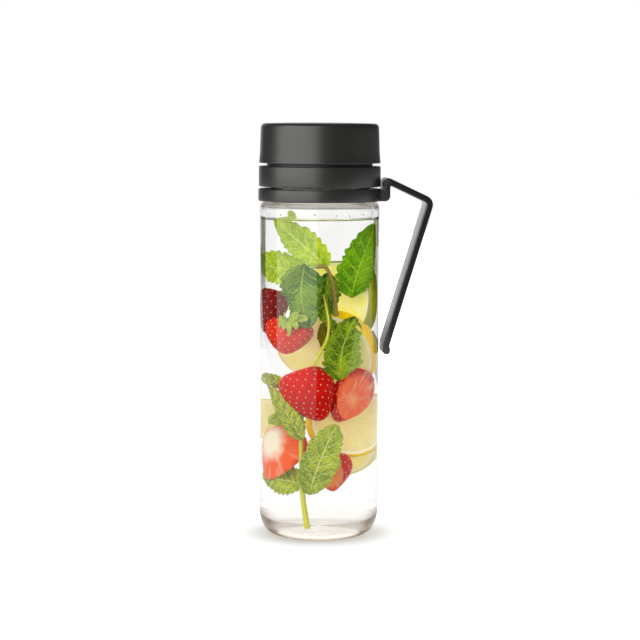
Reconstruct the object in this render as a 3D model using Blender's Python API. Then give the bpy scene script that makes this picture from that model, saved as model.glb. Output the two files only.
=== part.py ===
"""Half-litre infuser water bottle: a glass body, a carry handle on a loose ring round its neck,
a screw-on collar that holds a strainer and forms the drinking mouth, and a screw cap.

Every round piece is a section turned about the bottle's axis. The handle is a flat strap, cut from
its side outline and joined to its ring. Units are metres, +Z is up, and the origin is the middle of
the flat base, with the handle pointing along +X.
"""

import math

import bmesh
import bpy
from mathutils import Vector

MM = 0.001
CLEARANCE = 0.3 * MM
TURN_STEPS = 48
SEAL_STEPS = 36
EDGE_ANGLE = math.radians(30)
EDGE_BREAK = 0.4 * MM

# Glass body
BODY_RADIUS = 33.1 * MM
BODY_BORE = 30.3 * MM
HEEL_INSET = 10.0 * MM
HEEL_RISE = 13.7 * MM
FLOOR_HEIGHT = 5.5 * MM
FLOOR_CROWN = 0.6 * MM
FLOOR_FILLET = 7.6 * MM
BASE_RING_RADIUS = 12.5 * MM
BASE_RING_WIDTH = 1.2 * MM
BASE_RING_DEPTH = 0.4 * MM
SHOULDER_HEIGHT = 185.6 * MM
SHOULDER_RADIUS = 2.8 * MM
NECK_RADIUS = 28.2 * MM
NECK_BORE = 25.8 * MM
NECK_ROOT_FILLET = 1.0 * MM
NECK_TOP = 200.6 * MM
GLASS_LIP_RADIUS = 0.8 * MM
INNER_SHOULDER_TOP = 185.0 * MM
INNER_SHOULDER_BOTTOM = 182.4 * MM

# Handle ring and strap
RING_RADIUS = 34.0 * MM
RING_BORE = 29.5 * MM
RING_BOTTOM = SHOULDER_HEIGHT + 0.4 * MM
RING_TOP = 192.8 * MM
STRAP_THICKNESS = 3.5 * MM
STRAP_WIDTH = 20.0 * MM
STRAP_INNER_FACE = 34.7 * MM
STRAP_CREST = 197.6 * MM
STRAP_ELBOW = (61.0 * MM, 186.0 * MM)
STRAP_KNEE = (36.6 * MM, 106.7 * MM)
STRAP_TIP = 101.3 * MM
STRAP_LIP = 0.3 * MM
CREST_BEND = (2.8 * MM, 0.7 * MM)
ELBOW_BEND = (5.4 * MM, 2.1 * MM)
KNEE_BEND = (9.6 * MM, 6.4 * MM)
FOOT_ROOT = 31.4 * MM
FOOT_STEP_BELOW = 0.1 * MM
FOOT_STEP_ABOVE = 0.5 * MM
FOOT_TOE_RADIUS = 2.8 * MM
STRAP_EDGE = 0.6 * MM

# Collar core: threaded sleeve, top plate and drinking mouth in one moulding
SLEEVE_BORE = 29.8 * MM
SLEEVE_RADIUS = 31.4 * MM
SLEEVE_BOTTOM = 194.6 * MM
COLLAR_CEILING = 202.6 * MM
CORE_PLATE_TOP = 203.9 * MM
MOUTH_RADIUS = 28.1 * MM
MOUTH_BORE = 24.2 * MM
MOUTH_TOP = 222.3 * MM
MOUTH_LIP_RADIUS = 1.2 * MM
FOOT_BEAD_RADIUS = 29.2 * MM
FOOT_BEAD_TOP = 207.3 * MM
STRAINER_RECESS = 25.7 * MM
STRAINER_LEDGE = 205.6 * MM

# Collar shell: the cover ring that shows between the handle ring and the cap
COLLAR_RADIUS = 33.7 * MM
COLLAR_BOTTOM = 194.0 * MM
COLLAR_TOP = 205.2 * MM
COLLAR_BORE = SLEEVE_RADIUS + CLEARANCE
FLANGE_BORE = FOOT_BEAD_RADIUS + CLEARANCE
FLANGE_BOTTOM = CORE_PLATE_TOP + CLEARANCE

# Collar seal
COLLAR_SEAL_INNER = 26.2 * MM
COLLAR_SEAL_OUTER = 29.2 * MM
COLLAR_SEAL_THICKNESS = 1.4 * MM

# Strainer
STRAINER_RIM_RADIUS = 25.4 * MM
STRAINER_RIM_BOTTOM = 203.2 * MM
STRAINER_RIM_TOP = STRAINER_LEDGE - CLEARANCE
STRAINER_RIM_BORE = 23.7 * MM
STRAINER_FLOOR_RADIUS = 23.4 * MM
STRAINER_FLOOR = 197.4 * MM
STRAINER_WALL = 1.4 * MM
SLOT_WIDTH = 2.4 * MM
SLOT_BRIDGE = 2.2 * MM
SLOT_ROWS = ((5.0 * MM, 3), (9.5 * MM, 6), (14.0 * MM, 8), (18.5 * MM, 12))
SLOT_ARC_STEP = 2.4 * MM

# Cap: outer shell, threaded insert and seal
CAP_TOP = 229.1 * MM
CAP_BOTTOM = 206.9 * MM
CAP_CROWN = 0.4 * MM
CAP_TOP_RADIUS = 32.6 * MM
CAP_WAIST_RADIUS = 33.1 * MM
CAP_WAIST_HEIGHT = 212.8 * MM
CAP_FOOT_RADIUS = 33.6 * MM
CAP_CORNER_RADIUS = 2.4 * MM
CAP_SHELL_BORE = 31.1 * MM
CAP_SHELL_CEILING = 226.6 * MM
INSERT_RADIUS = CAP_SHELL_BORE - CLEARANCE
INSERT_BORE = 29.6 * MM
INSERT_BOTTOM = 207.7 * MM
INSERT_TOP = CAP_SHELL_CEILING - CLEARANCE
INSERT_CEILING = 224.5 * MM
SEAL_BOSS_RADIUS = 23.9 * MM
SEAL_BOSS_BORE = 22.8 * MM
SEAL_BOSS_BOTTOM = 223.2 * MM
CAP_SEAL_INNER = 24.3 * MM
CAP_SEAL_OUTER = 28.4 * MM
CAP_SEAL_THICKNESS = 1.6 * MM


def clear_scene():
    for obj in list(bpy.data.objects):
        bpy.data.objects.remove(obj)


def finish(name, colour, roughness, transmission=0.0):
    """A Principled BSDF material; colour is linear RGB."""
    material = bpy.data.materials.new(name)
    material.use_nodes = True
    shader = material.node_tree.nodes["Principled BSDF"]
    shader.inputs["Base Color"].default_value = (*colour, 1.0)
    shader.inputs["Roughness"].default_value = roughness
    shader.inputs["Metallic"].default_value = 0.0
    shader.inputs["Transmission Weight"].default_value = transmission
    material.diffuse_color = (*colour, 1.0)
    return material


def arc(centre, radius, start, end, steps):
    """Points on a circle in the section plane, from one angle to another, in degrees."""
    points = []
    for step in range(steps + 1):
        angle = math.radians(start + (end - start) * step / steps)
        points.append((centre[0] + radius * math.cos(angle), centre[1] + radius * math.sin(angle)))
    return points


def as_object(name, work, material):
    """Turns a finished bmesh into an object with outward faces and soft shading on its curves."""
    bmesh.ops.remove_doubles(work, verts=work.verts, dist=0.01 * MM)
    bmesh.ops.recalc_face_normals(work, faces=work.faces)
    mesh = bpy.data.meshes.new(name)
    work.to_mesh(mesh)
    work.free()
    mesh.shade_smooth()
    mesh.set_sharp_from_angle(angle=EDGE_ANGLE)
    mesh.materials.append(material)
    obj = bpy.data.objects.new(name, mesh)
    bpy.context.scene.collection.objects.link(obj)
    return obj


def turned(name, section, material, steps=TURN_STEPS):
    """Spins a section of (radius, height) points about the bottle's axis.

    A section that starts and ends on the axis makes a disc or cup, and any other closes on itself.
    """
    work = bmesh.new()
    verts = [work.verts.new((radius, 0.0, height)) for radius, height in section]
    on_axis = section[0][0] == 0.0 and section[-1][0] == 0.0
    pairs = list(zip(verts, verts[1:]))
    if not on_axis:
        pairs.append((verts[-1], verts[0]))
    edges = [work.edges.new(pair) for pair in pairs]
    bmesh.ops.spin(
        work,
        geom=verts + edges,
        cent=(0.0, 0.0, 0.0),
        axis=(0.0, 0.0, 1.0),
        angle=math.tau,
        steps=steps,
        use_merge=True,
    )
    return as_object(name, work, material)


def glass_bottle(material):
    """Thick-based cylinder with a round heel, a flat shoulder, an open neck and a polished lip."""
    ring_in = BASE_RING_RADIUS - BASE_RING_WIDTH / 2
    ring_out = BASE_RING_RADIUS + BASE_RING_WIDTH / 2
    slope = BASE_RING_DEPTH / 2
    outside = [
        (0.0, 0.0),
        (ring_in, 0.0),
        (ring_in + slope, BASE_RING_DEPTH),
        (ring_out - slope, BASE_RING_DEPTH),
        (ring_out, 0.0),
    ]
    heel_steps = 8
    for step in range(heel_steps + 1):
        angle = math.radians(90 * step / heel_steps)
        radius = BODY_RADIUS - HEEL_INSET * (1 - math.sin(angle))
        outside.append((radius, HEEL_RISE * (1 - math.cos(angle))))
    shoulder_centre = (BODY_RADIUS - SHOULDER_RADIUS, SHOULDER_HEIGHT - SHOULDER_RADIUS)
    outside += arc(shoulder_centre, SHOULDER_RADIUS, 0, 90, 4)
    root_centre = (NECK_RADIUS + NECK_ROOT_FILLET, SHOULDER_HEIGHT + NECK_ROOT_FILLET)
    outside += arc(root_centre, NECK_ROOT_FILLET, -90, -180, 2)
    lip_height = NECK_TOP - GLASS_LIP_RADIUS
    outside += arc((NECK_RADIUS - GLASS_LIP_RADIUS, lip_height), GLASS_LIP_RADIUS, 0, 90, 3)

    inside = arc((NECK_BORE + GLASS_LIP_RADIUS, lip_height), GLASS_LIP_RADIUS, 90, 180, 3)
    flare_steps = 6
    for step in range(flare_steps + 1):
        share = step / flare_steps
        radius = NECK_BORE + (BODY_BORE - NECK_BORE) * (1 - math.cos(math.pi * share)) / 2
        height = INNER_SHOULDER_TOP + (INNER_SHOULDER_BOTTOM - INNER_SHOULDER_TOP) * share
        inside.append((radius, height))
    fillet_centre = (BODY_BORE - FLOOR_FILLET, FLOOR_HEIGHT + FLOOR_FILLET)
    inside += arc(fillet_centre, FLOOR_FILLET, 0, -90, 6)
    inside.append((0.0, FLOOR_HEIGHT + FLOOR_CROWN))
    return turned("glass_bottle", outside + inside, material)


def collar_core(material):
    """Sleeve that screws over the glass neck, closed above by a plate that carries the mouth."""
    section = [
        (SLEEVE_BORE + EDGE_BREAK, SLEEVE_BOTTOM),
        (SLEEVE_RADIUS, SLEEVE_BOTTOM),
        (SLEEVE_RADIUS, CORE_PLATE_TOP - EDGE_BREAK),
        (SLEEVE_RADIUS - EDGE_BREAK, CORE_PLATE_TOP),
        (FOOT_BEAD_RADIUS, CORE_PLATE_TOP),
        (FOOT_BEAD_RADIUS, FOOT_BEAD_TOP - EDGE_BREAK),
        (FOOT_BEAD_RADIUS - EDGE_BREAK, FOOT_BEAD_TOP),
        (MOUTH_RADIUS, FOOT_BEAD_TOP + EDGE_BREAK),
    ]
    lip_height = MOUTH_TOP - MOUTH_LIP_RADIUS
    section += arc((MOUTH_RADIUS - MOUTH_LIP_RADIUS, lip_height), MOUTH_LIP_RADIUS, 0, 90, 3)
    section += arc((MOUTH_BORE + MOUTH_LIP_RADIUS, lip_height), MOUTH_LIP_RADIUS, 90, 180, 3)
    section += [
        (MOUTH_BORE, STRAINER_LEDGE),
        (STRAINER_RECESS, STRAINER_LEDGE),
        (STRAINER_RECESS, COLLAR_CEILING),
        (SLEEVE_BORE, COLLAR_CEILING),
        (SLEEVE_BORE, SLEEVE_BOTTOM + EDGE_BREAK),
    ]
    return turned("collar_core", section, material)


def collar_shell(material):
    """Cover ring round the core, with a flange that lies on the core's plate."""
    section = [
        (COLLAR_BORE, COLLAR_BOTTOM),
        (COLLAR_RADIUS - EDGE_BREAK, COLLAR_BOTTOM),
        (COLLAR_RADIUS, COLLAR_BOTTOM + EDGE_BREAK),
        (COLLAR_RADIUS, COLLAR_TOP - EDGE_BREAK),
        (COLLAR_RADIUS - EDGE_BREAK, COLLAR_TOP),
        (FLANGE_BORE, COLLAR_TOP),
        (FLANGE_BORE, FLANGE_BOTTOM),
        (COLLAR_BORE, FLANGE_BOTTOM),
    ]
    return turned("collar_shell", section, material)


def flat_ring(name, inner, outer, bottom, thickness, material):
    """A moulded washer with its corners eased."""
    ease = thickness / 4
    top = bottom + thickness
    section = [
        (inner + ease, bottom),
        (outer - ease, bottom),
        (outer, bottom + ease),
        (outer, top - ease),
        (outer - ease, top),
        (inner + ease, top),
        (inner, top - ease),
        (inner, bottom + ease),
    ]
    return turned(name, section, material, steps=SEAL_STEPS)


def cap_shell(material):
    """Slightly flared cover with a shallow crown and a rounded top corner."""
    corner_height = CAP_TOP - CAP_CROWN - CAP_CORNER_RADIUS
    crown_share = 0.6
    section = [
        (0.0, CAP_TOP),
        (CAP_TOP_RADIUS * crown_share, CAP_TOP - CAP_CROWN * crown_share**2),
    ]
    section += arc((CAP_TOP_RADIUS - CAP_CORNER_RADIUS, corner_height), CAP_CORNER_RADIUS, 86, 0, 5)
    section += [
        (CAP_WAIST_RADIUS, CAP_WAIST_HEIGHT),
        (CAP_FOOT_RADIUS, CAP_BOTTOM + EDGE_BREAK),
        (CAP_FOOT_RADIUS - EDGE_BREAK, CAP_BOTTOM),
        (CAP_SHELL_BORE + EDGE_BREAK, CAP_BOTTOM),
        (CAP_SHELL_BORE, CAP_BOTTOM + EDGE_BREAK),
        (CAP_SHELL_BORE, CAP_SHELL_CEILING),
        (0.0, CAP_SHELL_CEILING),
    ]
    return turned("cap_shell", section, material)


def cap_insert(material):
    """Plain cup inside the shell: its bore carries the thread, its boss centres the seal."""
    section = [
        (0.0, INSERT_TOP),
        (INSERT_RADIUS, INSERT_TOP),
        (INSERT_RADIUS, INSERT_BOTTOM),
        (INSERT_BORE + EDGE_BREAK, INSERT_BOTTOM),
        (INSERT_BORE, INSERT_BOTTOM + EDGE_BREAK),
        (INSERT_BORE, INSERT_CEILING),
        (SEAL_BOSS_RADIUS, INSERT_CEILING),
        (SEAL_BOSS_RADIUS, SEAL_BOSS_BOTTOM),
        (SEAL_BOSS_BORE, SEAL_BOSS_BOTTOM),
        (SEAL_BOSS_BORE, INSERT_CEILING),
        (0.0, INSERT_CEILING),
    ]
    return turned("cap_insert", section, material)


def slot_cutter(work, radius, count, index):
    """Adds one arc-shaped block, which cuts one slot through the strainer's floor."""
    half_angle = (math.tau / count - SLOT_BRIDGE / radius) / 2
    middle = math.tau * index / count
    steps = max(2, round(2 * half_angle * radius / SLOT_ARC_STEP))
    low = STRAINER_FLOOR - STRAINER_WALL
    high = STRAINER_FLOOR + 2 * STRAINER_WALL
    loops = []
    for step in range(steps + 1):
        angle = middle + half_angle * (2 * step / steps - 1)
        across = Vector((math.cos(angle), math.sin(angle), 0.0))
        inner = across * (radius - SLOT_WIDTH / 2)
        outer = across * (radius + SLOT_WIDTH / 2)
        corners = [(inner, low), (outer, low), (outer, high), (inner, high)]
        loops.append([work.verts.new((point.x, point.y, height)) for point, height in corners])
    for before, after in zip(loops, loops[1:]):
        for side in range(4):
            following = (side + 1) % 4
            work.faces.new((before[side], before[following], after[following], after[side]))
    work.faces.new(loops[0])
    work.faces.new(loops[-1])


def strainer(material):
    """Shallow cup with a gripping rim; four rows of arc slots pierce its floor."""
    floor_top = STRAINER_FLOOR + STRAINER_WALL
    section = [
        (0.0, STRAINER_FLOOR),
        (STRAINER_FLOOR_RADIUS - EDGE_BREAK, STRAINER_FLOOR),
        (STRAINER_FLOOR_RADIUS, STRAINER_FLOOR + EDGE_BREAK),
        (STRAINER_RIM_RADIUS - EDGE_BREAK, STRAINER_RIM_BOTTOM),
        (STRAINER_RIM_RADIUS, STRAINER_RIM_BOTTOM + EDGE_BREAK),
        (STRAINER_RIM_RADIUS, STRAINER_RIM_TOP),
        (STRAINER_RIM_BORE, STRAINER_RIM_TOP),
        (STRAINER_FLOOR_RADIUS - STRAINER_WALL, floor_top + EDGE_BREAK),
        (STRAINER_FLOOR_RADIUS - STRAINER_WALL - EDGE_BREAK, floor_top),
        (0.0, floor_top),
    ]
    cup = turned("strainer", section, material)
    work = bmesh.new()
    for radius, count in SLOT_ROWS:
        for index in range(count):
            slot_cutter(work, radius, count, index)
    cutter = as_object("slot_cutter", work, material)
    cutter.hide_render = True
    cutter.display_type = "WIRE"
    cut = cup.modifiers.new("slots", "BOOLEAN")
    cut.operation = "DIFFERENCE"
    cut.solver = "EXACT"
    cut.object = cutter
    return cup


def rounded(corners, steps=4):
    """Replaces each (x, y, radius) corner of a closed outline by an arc tangent to both its sides."""
    outline = []
    for index, (x, y, radius) in enumerate(corners):
        here = Vector((x, y))
        if radius == 0.0:
            outline.append(here)
            continue
        before = (Vector(corners[index - 1][:2]) - here).normalized()
        after = (Vector(corners[(index + 1) % len(corners)][:2]) - here).normalized()
        half = before.angle(after) / 2
        centre = here + (before + after).normalized() * (radius / math.sin(half))
        first = here + before * (radius / math.tan(half)) - centre
        last = here + after * (radius / math.tan(half)) - centre
        sweep = first.angle_signed(last)
        for step in range(steps + 1):
            turn = -sweep * step / steps
            cosine, sine = math.cos(turn), math.sin(turn)
            along = Vector((first.x * cosine - first.y * sine, first.x * sine + first.y * cosine))
            outline.append(centre + along)
    return outline


def offset_corner(before, here, after, distance):
    """Where two sides of a strap meet once both are moved sideways by a distance."""
    into = (here - before).normalized()
    out = (after - here).normalized()
    normal_in = Vector((-into.y, into.x))
    normal_out = Vector((-out.y, out.x))
    mitre = (normal_in + normal_out).normalized()
    return here + mitre * (distance / mitre.dot(normal_in))


def strap_outline():
    """Side view of the handle as (radius, height) points: foot, hook over the crest, elbow and tip."""
    half = STRAP_THICKNESS / 2
    middle = STRAP_INNER_FACE + half
    path = [
        Vector((middle, RING_BOTTOM)),
        Vector((middle, STRAP_CREST)),
        Vector(STRAP_ELBOW),
        Vector(STRAP_KNEE),
        Vector((STRAP_KNEE[0], STRAP_TIP)),
    ]
    # Where the path turns right, the wide radius of the bend is on its left side.
    left, right = [], []
    for index, (wide, tight) in enumerate((CREST_BEND, ELBOW_BEND, KNEE_BEND), start=1):
        before, here, after = path[index - 1 : index + 2]
        turns_right = (here - before).angle_signed(after - here) > 0
        for side, offset in ((left, half), (right, -half)):
            corner = offset_corner(before, here, after, offset)
            on_outside = turns_right == (side is left)
            side.append((corner.x, corner.y, wide if on_outside else tight))
    tip_x, tip_y = path[-1]
    tip_round = 0.9 * half
    foot_bottom = RING_BOTTOM + FOOT_STEP_BELOW
    foot_top = RING_TOP - FOOT_STEP_ABOVE
    corners = [(FOOT_ROOT, foot_bottom, 0.0), (middle + half, foot_bottom, FOOT_TOE_RADIUS)]
    corners += right
    corners += [
        (tip_x - half, tip_y, tip_round),
        (tip_x + half + STRAP_LIP, tip_y, tip_round),
        (tip_x + half + STRAP_LIP, tip_y + STRAP_THICKNESS, 0.0),
        (tip_x + half, tip_y + STRAP_THICKNESS + STRAP_LIP, 0.0),
    ]
    corners += reversed(left)
    corners += [(STRAP_INNER_FACE, foot_top, 0.0), (FOOT_ROOT, foot_top, 0.0)]
    return rounded(corners)


def carry_handle(material):
    """Loose ring round the neck with a flat hooked strap moulded on its side."""
    section = [
        (RING_BORE + EDGE_BREAK, RING_BOTTOM),
        (RING_RADIUS - EDGE_BREAK, RING_BOTTOM),
        (RING_RADIUS, RING_BOTTOM + EDGE_BREAK),
        (RING_RADIUS, RING_TOP - EDGE_BREAK),
        (RING_RADIUS - EDGE_BREAK, RING_TOP),
        (RING_BORE + EDGE_BREAK, RING_TOP),
        (RING_BORE, RING_TOP - EDGE_BREAK),
        (RING_BORE, RING_BOTTOM + EDGE_BREAK),
    ]
    ring = turned("carry_handle", section, material)
    work = bmesh.new()
    side = [work.verts.new((point.x, -STRAP_WIDTH / 2, point.y)) for point in strap_outline()]
    face = work.faces.new(side)
    grown = bmesh.ops.extrude_face_region(work, geom=[face])
    moved = [item for item in grown["geom"] if isinstance(item, bmesh.types.BMVert)]
    bmesh.ops.translate(work, verts=moved, vec=(0.0, STRAP_WIDTH, 0.0))
    strap = as_object("strap_body", work, material)
    strap.hide_render = True
    strap.display_type = "WIRE"
    ease = strap.modifiers.new("eased_edges", "BEVEL")
    ease.width = STRAP_EDGE
    ease.segments = 2
    ease.limit_method = "ANGLE"
    ease.angle_limit = math.radians(60)
    join = ring.modifiers.new("strap", "BOOLEAN")
    join.operation = "UNION"
    join.solver = "EXACT"
    join.object = strap
    return ring


def main():
    clear_scene()
    glass = finish("clear_glass", (0.96, 0.98, 0.97), 0.02, transmission=1.0)
    grey_plastic = finish("dark_grey_plastic", (0.052, 0.052, 0.049), 0.45)
    inner_plastic = finish("black_inner_plastic", (0.03, 0.03, 0.03), 0.5)
    silicone = finish("seal_silicone", (0.12, 0.12, 0.12), 0.6)

    glass_bottle(glass)
    carry_handle(grey_plastic)
    collar_core(inner_plastic)
    collar_shell(grey_plastic)
    strainer(inner_plastic)
    cap_shell(grey_plastic)
    cap_insert(inner_plastic)
    seals = (
        ("collar_seal", COLLAR_SEAL_INNER, COLLAR_SEAL_OUTER, NECK_TOP, COLLAR_SEAL_THICKNESS),
        ("cap_seal", CAP_SEAL_INNER, CAP_SEAL_OUTER, MOUTH_TOP, CAP_SEAL_THICKNESS),
    )
    for name, inner, outer, seat, thickness in seals:
        flat_ring(name, inner, outer, seat + CLEARANCE, thickness, silicone)


main()
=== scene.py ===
import math
import random

import bpy
import numpy as np
from mathutils import Matrix, Vector, noise


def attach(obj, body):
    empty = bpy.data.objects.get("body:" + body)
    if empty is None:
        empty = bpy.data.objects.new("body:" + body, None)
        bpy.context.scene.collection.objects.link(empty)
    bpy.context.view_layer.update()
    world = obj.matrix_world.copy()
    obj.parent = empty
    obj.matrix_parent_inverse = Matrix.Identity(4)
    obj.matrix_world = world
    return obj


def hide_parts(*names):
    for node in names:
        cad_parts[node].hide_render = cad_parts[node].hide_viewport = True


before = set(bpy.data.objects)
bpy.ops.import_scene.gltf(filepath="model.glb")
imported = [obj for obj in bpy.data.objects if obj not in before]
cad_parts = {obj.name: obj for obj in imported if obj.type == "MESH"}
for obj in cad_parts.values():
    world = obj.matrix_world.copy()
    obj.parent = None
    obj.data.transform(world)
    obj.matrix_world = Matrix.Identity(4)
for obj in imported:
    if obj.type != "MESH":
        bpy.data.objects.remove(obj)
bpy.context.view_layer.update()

# Glass bottle. It is one piece of clear soda glass, moulded with a thick base, a round heel, a flat
# shoulder and a short neck with a three-start thread. Its skin is polished and very slightly wavy.
# Sizes are in millimetres here and below, and heights stand over the table.
MM = 0.001
TURN_STEPS = 144
BASE_RING = [(0.0, 0.0), (11.9, 0.0), (12.1, 0.4), (12.9, 0.4), (13.1, 0.0)]
BODY_RADIUS = 33.1
BODY_BORE = 30.3
WALL_MIDDLE = 31.7
HEEL_INSET = 10.0
HEEL_RISE = 13.7
FLOOR_HEIGHT = 5.5
FLOOR_CROWN = 0.6
FLOOR_BEND = (11.0, FLOOR_HEIGHT + 0.45)
FLOOR_FILLET = 7.6
SHOULDER_HEIGHT = 185.6
SHOULDER_RADIUS = 2.8
INNER_SHOULDER_TOP = 185.0
INNER_SHOULDER_BOTTOM = 182.4
NECK_RADIUS = 28.2
NECK_BORE = 25.8
NECK_TOP = 200.6
LIP = 0.8
THREAD_LEAD = 12.0
THREAD_THICKNESS = 1.3
THREAD_STARTS = 3
WATER_LEVEL = 176.0
PAINTED_FOOT_SHADE_RADIUS = 23.2
FOOT_CLEARNESS = 0.85
CROWN_CLEARNESS = 0.55
HEEL_TINT = (0.985, 0.965, 0.93)


def arc(centre, radius, start, end, steps):
    """Points on a circle in a section, from one angle in degrees to another."""
    points = []
    for step in range(steps + 1):
        angle = math.radians(start + (end - start) * step / steps)
        points.append((centre[0] + radius * math.cos(angle), centre[1] + radius * math.sin(angle)))
    return points


def named(name):
    """Names the piece that was just added, and its mesh."""
    piece = bpy.context.object
    piece.name = name
    piece.data.name = name
    return piece


def edit_all():
    """Opens the active piece in edit mode with every vertex selected."""
    bpy.ops.object.mode_set(mode="EDIT")
    bpy.ops.mesh.select_mode(type="VERT")
    bpy.ops.mesh.select_all(action="SELECT")


def faced_out():
    """Turns every side outwards and leaves edit mode."""
    bpy.ops.mesh.normals_make_consistent(inside=False)
    bpy.ops.object.mode_set(mode="OBJECT")


def rotated(angle, axis="Z"):
    """Turns what is selected about an axis through the origin."""
    bpy.ops.transform.rotate(value=angle, orient_axis=axis, center_override=(0.0, 0.0, 0.0))


def swept(steps, angle=math.tau, merge=True):
    """Spins everything round the bottle's axis."""
    bpy.ops.mesh.select_all(action="SELECT")
    bpy.ops.mesh.spin(
        steps=steps, angle=angle, center=(0, 0, 0), axis=(0, 0, 1), use_auto_merge=merge
    )
    bpy.ops.mesh.select_all(action="SELECT")


def drawn(name, points, closed=False):
    """Draws a line as by hand: one vertex, extruded from point to point in the XZ plane."""
    bpy.ops.mesh.primitive_plane_add(size=MM)
    piece = named(name)
    edit_all()
    bpy.ops.mesh.merge(type="CENTER")
    bpy.ops.transform.translate(value=(points[0][0] * MM, 0.0, points[0][1] * MM))
    for before, after in zip(points, points[1:]):
        step = ((after[0] - before[0]) * MM, 0.0, (after[1] - before[1]) * MM)
        bpy.ops.mesh.extrude_region_move(TRANSFORM_OT_translate={"value": step})
    if closed:
        bpy.ops.mesh.select_all(action="SELECT")
        bpy.ops.mesh.edge_face_add()
        bpy.ops.mesh.delete(type="ONLY_FACE")
    return piece


def smoothed(angle):
    """Smooths the active piece but for the edges sharper than an angle in degrees."""
    bpy.ops.object.shade_smooth_by_angle(angle=math.radians(angle))


def turned(name, section, steps=TURN_STEPS):
    """Spins a section round the axis; one that leaves the axis open closes on itself."""
    on_axis = section[0][0] == 0.0 and section[-1][0] == 0.0
    piece = drawn(name, section, closed=not on_axis)
    swept(steps)
    bpy.ops.mesh.remove_doubles(threshold=0.002 * MM)
    faced_out()
    smoothed(30)
    return piece


def applied(piece, name, kind, **settings):
    """Puts a modifier on the active piece, sets it and applies it."""
    modifier = piece.modifiers.new(name, kind)
    for setting, value in settings.items():
        setattr(modifier, setting, value)
    bpy.ops.object.modifier_apply(modifier=name)


def joined(name, pieces):
    """Joins pieces into the first one, as one moulding."""
    bpy.ops.object.select_all(action="DESELECT")
    for piece in pieces:
        piece.select_set(True)
    bpy.context.view_layer.objects.active = pieces[0]
    bpy.ops.object.join()
    pieces[0].name = name
    return pieces[0]


def threads(name, wall, reach, low, sweep=120.0, first=0.0):
    """The starts of a thread: a small section swept up round the axis, once for each start."""
    ends = 0.35 * THREAD_THICKNESS
    root = wall - 0.15 * math.copysign(1, reach)
    section = [
        (root, low),
        (wall + reach, low + ends),
        (wall + reach, low + THREAD_THICKNESS - ends),
        (root, low + THREAD_THICKNESS),
    ]
    starts = []
    for start in range(THREAD_STARTS):
        piece = drawn(name, section, closed=True)
        bpy.ops.object.mode_set(mode="OBJECT")
        rise = THREAD_LEAD * MM * sweep / 360.0
        turn = math.radians(sweep)
        applied(
            piece, "sweep", "SCREW", angle=turn, screw_offset=rise, steps=36, render_steps=36
        )
        bpy.ops.object.mode_set(mode="EDIT")
        bpy.ops.mesh.select_mode(type="EDGE")
        bpy.ops.mesh.select_all(action="DESELECT")
        bpy.ops.mesh.select_non_manifold()
        bpy.ops.mesh.edge_face_add()
        bpy.ops.mesh.select_mode(type="VERT")
        bpy.ops.mesh.select_all(action="SELECT")
        rotated(math.radians(first + 360.0 / THREAD_STARTS * start))
        faced_out()
        smoothed(35)
        starts.append(piece)
    return starts


def add(material, kind, **values):
    """Adds a node and sets its sockets, or else its properties, by name."""
    node = material.node_tree.nodes.new(kind)
    for name, value in values.items():
        socket = node.inputs.get(name.replace("_", " ").title())
        if socket is None:
            setattr(node, name, value)
        else:
            socket.default_value = value
    return node


def wire(material, *pairs):
    """Links each output to an input."""
    for out, into in pairs:
        material.node_tree.links.new(out, into)


def principled(name, colour, roughness, **sockets):
    """A Principled material; colour is linear RGB and sockets are set on the shader itself."""
    material = bpy.data.materials.new(name)
    material.use_nodes = True
    shader = material.node_tree.nodes["Principled BSDF"]
    shader.inputs["Base Color"].default_value = (*colour, 1.0)
    shader.inputs["Roughness"].default_value = roughness
    for socket, value in sockets.items():
        shader.inputs[socket.replace("_", " ")].default_value = value
    return material, shader


def overlaid(material, share, shader):
    """Mixes a share of another shader into what the material shows so far."""
    surface = material.node_tree.nodes["Material Output"].inputs["Surface"]
    mix = add(material, "ShaderNodeMixShader")
    wire(
        material,
        (share, mix.inputs[0]),
        (surface.links[0].from_socket, mix.inputs[1]),
        (shader.outputs[0], mix.inputs[2]),
        (mix.outputs[0], surface),
    )


def object_place(material):
    """The object coordinates, in metres."""
    return add(material, "ShaderNodeTexCoord").outputs["Object"]


def object_axes(material):
    """The object coordinates, one by one."""
    axes = add(material, "ShaderNodeSeparateXYZ")
    wire(material, (object_place(material), axes.inputs[0]))
    return axes.outputs["X"], axes.outputs["Y"], axes.outputs["Z"]


def object_noise(material, scale, detail=2.0, roughness=0.5):
    """A noise on object coordinates, in cycles per metre."""
    grain = add(material, "ShaderNodeTexNoise", scale=scale, detail=detail, roughness=roughness)
    wire(material, (object_place(material), grain.inputs["Vector"]))
    return grain.outputs["Fac"]


def bumped(material, shader, height, strength, distance):
    """Lets a height roughen the shader's surface, by a distance in metres."""
    bump = add(material, "ShaderNodeBump", strength=strength, distance=distance)
    wire(
        material, (height, bump.inputs["Height"]), (bump.outputs["Normal"], shader.inputs["Normal"])
    )


def calculated(material, operation, *values):
    """A math node on numbers or on other nodes' outputs."""
    node = add(material, "ShaderNodeMath", operation=operation)
    for socket, value in zip(node.inputs, values):
        if isinstance(value, (int, float)):
            socket.default_value = value
        else:
            wire(material, (value, socket))
    return node.outputs[0]


def times(material, first, *others):
    """Multiplies outputs and numbers."""
    for other in others:
        first = calculated(material, "MULTIPLY", first, other)
    return first


def ramped(material, value, low, high):
    """Runs smoothly from 0 at low to 1 at high, or down where low is above high."""
    node = add(
        material, "ShaderNodeMapRange", interpolation_type="SMOOTHSTEP", from_min=min(low, high),
        from_max=max(low, high), to_min=float(low > high), to_max=float(low < high),
    )
    wire(material, (value, node.inputs["Value"]))
    return node.outputs["Result"]


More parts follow.
